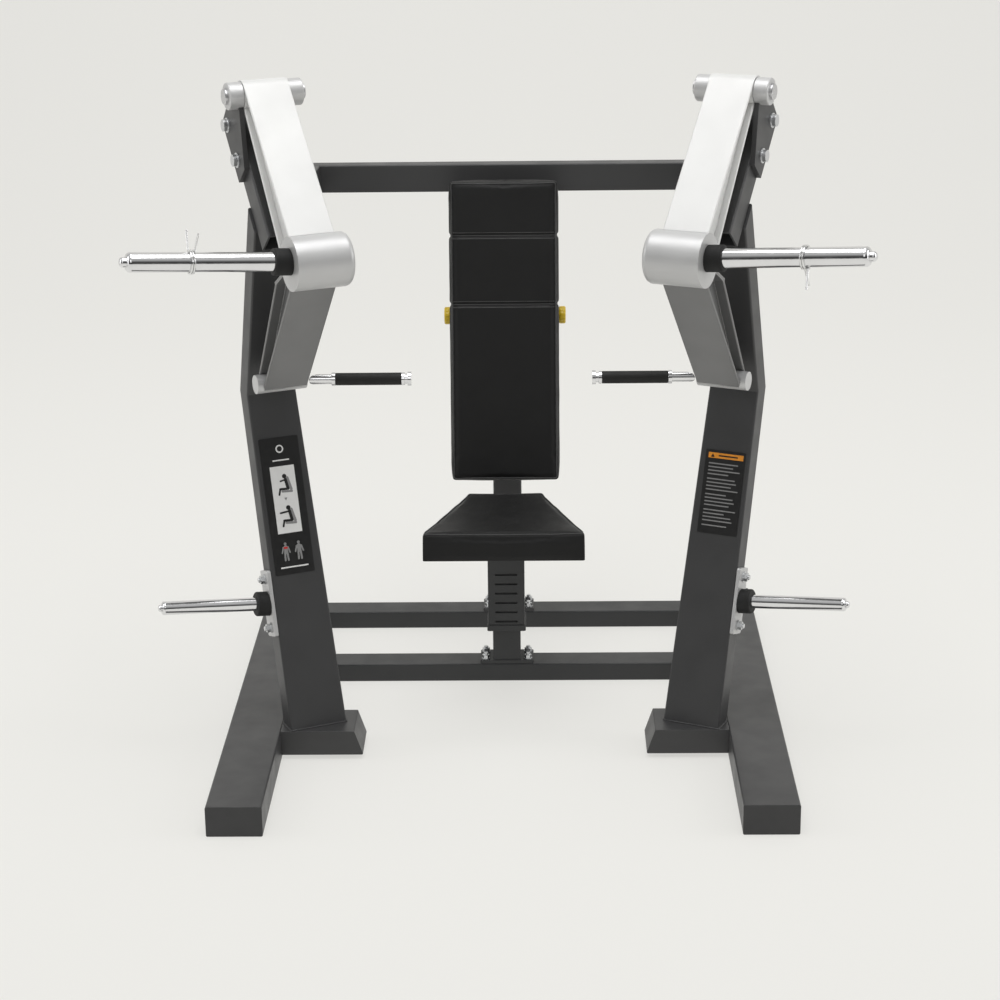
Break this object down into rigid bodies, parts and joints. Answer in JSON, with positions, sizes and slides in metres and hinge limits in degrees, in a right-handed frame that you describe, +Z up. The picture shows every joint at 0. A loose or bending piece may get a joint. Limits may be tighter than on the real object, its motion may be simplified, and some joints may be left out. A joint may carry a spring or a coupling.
{
  "type": "chest press machine",
  "caption": "Plate-loaded seated chest press: two independent pivoting arms with grips and plate horns, a sliding seat and backrest, and storage horns on a floor frame.",
  "frame": {"origin": "on the floor, under the centre of the machine's bounding box", "axes": "+Z up; +Y from the user's front towards the back of the machine, so the user sits facing -Y; +X to the right seen from the front, and the machine is alike on both sides of X = 0"},
  "size_m": [1.7196, 1.48, 1.691],
  "materials": {
    "frame_coat": "textured charcoal powder coat",
    "end_cap": "moulded plastic end cap",
    "arm_coat": "satin silver-white powder coat",
    "arm_lower_coat": "metallic silver powder coat",
    "silver_steel": "brushed",
    "bearing_steel": "ground",
    "fastener": "zinc plated",
    "chrome": "polished",
    "spring_wire": "drawn wire, bright",
    "plate_steel": "silver coat",
    "rubber": "moulded",
    "upholstery": "grained vinyl, sewn",
    "board": "painted plywood backing",
    "yellow_plastic": "moulded knob",
    "black_plastic": "moulded knob",
    "placard": "printed sheet"
  },
  "bodies": {
    "root": {"left_base_rail": "frame_coat", "right_base_rail": "frame_coat", "left_post": "frame_coat", "right_post": "frame_coat", "left_top_boom": "frame_coat", "right_top_boom": "frame_coat", "tube_end_caps": "end_cap", "foot_tubes": "frame_coat", "pivot_cheeks": "frame_coat", "pivot_bosses": "silver_steel", "pivot_axles": "fastener", "cheek_bolts": "fastener", "arm_stop_bumpers": "rubber", "storage_horns": "chrome", "storage_plates": "plate_steel", "storage_bumpers": "rubber", "storage_bolts": "fastener", "base_bolts": "fastener", "top_side_arms": "frame_coat", "front_base_bar": "frame_coat", "back_base_bar": "frame_coat", "top_crossbar": "frame_coat", "back_column": "frame_coat", "seat_post": "frame_coat", "backrest_guide": "frame_coat", "instruction_placard": "placard", "notice_placard": "placard"},
    "left_arm": {"left_upper_arm": "arm_coat", "left_lower_arm": "arm_lower_coat", "left_arm_pivot_tube": "silver_steel", "left_arm_bearings": "bearing_steel", "left_elbow_drum": "arm_lower_coat", "left_handle_cross_tube": "arm_lower_coat", "left_handle_bar": "chrome", "left_handle_grip": "rubber", "left_weight_horn": "chrome", "left_horn_bumper": "rubber"},
    "right_arm": {"right_upper_arm": "arm_coat", "right_lower_arm": "arm_lower_coat", "right_arm_pivot_tube": "silver_steel", "right_arm_bearings": "bearing_steel", "right_elbow_drum": "arm_lower_coat", "right_handle_cross_tube": "arm_lower_coat", "right_handle_bar": "chrome", "right_handle_grip": "rubber", "right_weight_horn": "chrome", "right_horn_bumper": "rubber"},
    "left_collar": {"left_spring_collar": "spring_wire"},
    "right_collar": {"right_spring_collar": "spring_wire"},
    "seat": {"seat_sleeve": "frame_coat", "seat_bracket": "frame_coat", "seat_pad": "upholstery"},
    "seat_latch": {"seat_latch_pin": "plate_steel", "seat_latch_knob": "black_plastic"},
    "backrest": {"back_pad": "upholstery", "back_board": "board", "back_carrier": "frame_coat", "backrest_slide_bar": "chrome"},
    "back_latch": {"backrest_latch_shaft": "plate_steel", "backrest_latch_knobs": "yellow_plastic"}
  },
  "joints": [
    {"name": "left_press", "type": "hinge", "parent": "root", "child": "left_arm", "pos_m": [-0.56848, -0.07939, 1.655], "axis": [-0.9063, -0.4226, 0], "range_deg": [0, 40]},
    {"name": "left_collar_slide", "type": "slide", "parent": "left_arm", "child": "left_collar", "axis": [-0.9021, -0.4207, 0.0958], "range_m": [-0.13, 0.11]},
    {"name": "right_press", "type": "hinge", "parent": "root", "child": "right_arm", "pos_m": [0.56848, -0.07939, 1.655], "axis": [-0.9063, 0.4226, 0], "range_deg": [0, 40]},
    {"name": "right_collar_slide", "type": "slide", "parent": "right_arm", "child": "right_collar", "axis": [0.9021, -0.4207, 0.0958], "range_m": [-0.13, 0.11]},
    {"name": "seat_height", "type": "slide", "parent": "root", "child": "seat", "axis": [0, 0, 1], "range_m": [-0.05, 0.075]},
    {"name": "seat_latch_pull", "type": "slide", "parent": "seat", "child": "seat_latch", "axis": [0, 1, 0], "range_m": [0, 0.012], "stiffness_N_per_m": 900, "springref_m": -0.01},
    {"name": "backrest_reach", "type": "slide", "parent": "root", "child": "backrest", "axis": [0, -1, 0], "range_m": [-0.035, 0.035]},
    {"name": "backrest_latch_turn", "type": "hinge", "parent": "root", "child": "back_latch", "pos_m": [0, 0.555, 0.948], "axis": [1, 0, 0], "range_deg": [0, 25], "stiffness_Nm_per_rad": 0.6, "springref_deg": -22.92}
  ]
}
